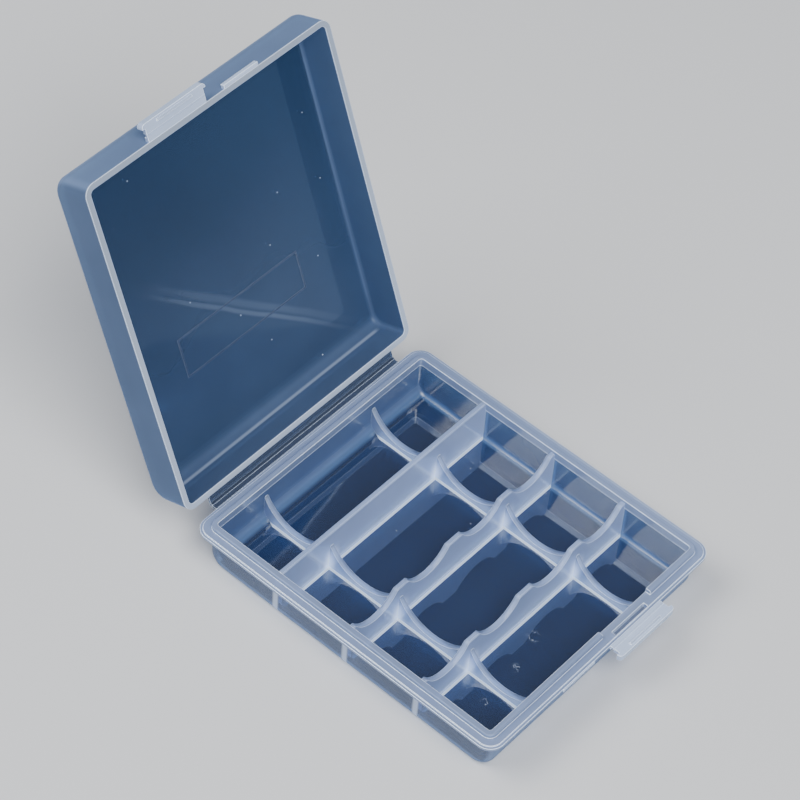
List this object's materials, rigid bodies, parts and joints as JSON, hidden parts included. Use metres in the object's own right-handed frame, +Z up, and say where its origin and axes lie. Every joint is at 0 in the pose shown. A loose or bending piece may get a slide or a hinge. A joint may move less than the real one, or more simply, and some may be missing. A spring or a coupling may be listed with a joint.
{
  "type": "battery storage case",
  "caption": "hinged clear plastic case for loose batteries: tray with scalloped divider grid, deep lid on a living hinge and snap latch flaps",
  "frame": {"origin": "centre of the tray's underside, on the table", "axes": "+X along the hinge, +Y from the latch side to the hinge side, +Z up; the lid stands open at 111 degrees from shut"},
  "size_m": [0.0598, 0.1051, 0.0775],
  "materials": {
    "tray_plastic": "translucent moulded, slightly milky blue",
    "lid_plastic": "translucent moulded, slightly milky blue",
    "divider_plastic": "translucent moulded, slightly milky blue"
  },
  "bodies": {
    "tray": {"cross_rib_left_1": "divider_plastic", "cross_rib_left_2": "divider_plastic", "cross_rib_left_3": "divider_plastic", "cross_rib_left_4": "divider_plastic", "cross_rib_right_1": "divider_plastic", "cross_rib_right_2": "divider_plastic", "cross_rib_right_3": "divider_plastic", "cross_rib_right_4": "divider_plastic", "divider_hinge_side": "divider_plastic", "divider_latch_side": "divider_plastic", "divider_middle": "divider_plastic", "tray_catch_bar": "tray_plastic", "tray_hinge_leaf": "tray_plastic", "tray_latch_root": "tray_plastic", "tray_rim": "tray_plastic", "tray_shell": "tray_plastic"},
    "lid": {"lid_catch_bar": "lid_plastic", "lid_gate_pad": "lid_plastic", "lid_hinge_leaf": "lid_plastic", "lid_label_frame": "lid_plastic", "lid_latch_root": "lid_plastic", "lid_shell": "lid_plastic"},
    "tray_latch": {"tray_latch_flap": "tray_plastic"},
    "lid_latch": {"lid_latch_flap": "lid_plastic"}
  },
  "joints": [
    {"name": "lid_hinge", "type": "hinge", "parent": "tray", "child": "lid", "pos_m": [0, 0.03545, 0.00967], "axis": [1, 0, 0], "range_deg": [-69, 111]},
    {"name": "tray_latch_fold", "type": "hinge", "parent": "tray", "child": "tray_latch", "pos_m": [0.00795, -0.0349, 0.00935], "axis": [-1, 0, 0], "range_deg": [0, 90]},
    {"name": "lid_latch_fold", "type": "hinge", "parent": "lid", "child": "lid_latch", "pos_m": [-0.00725, 0.06096, 0.07524], "axis": [1, 0, 0], "range_deg": [0, 90]}
  ]
}
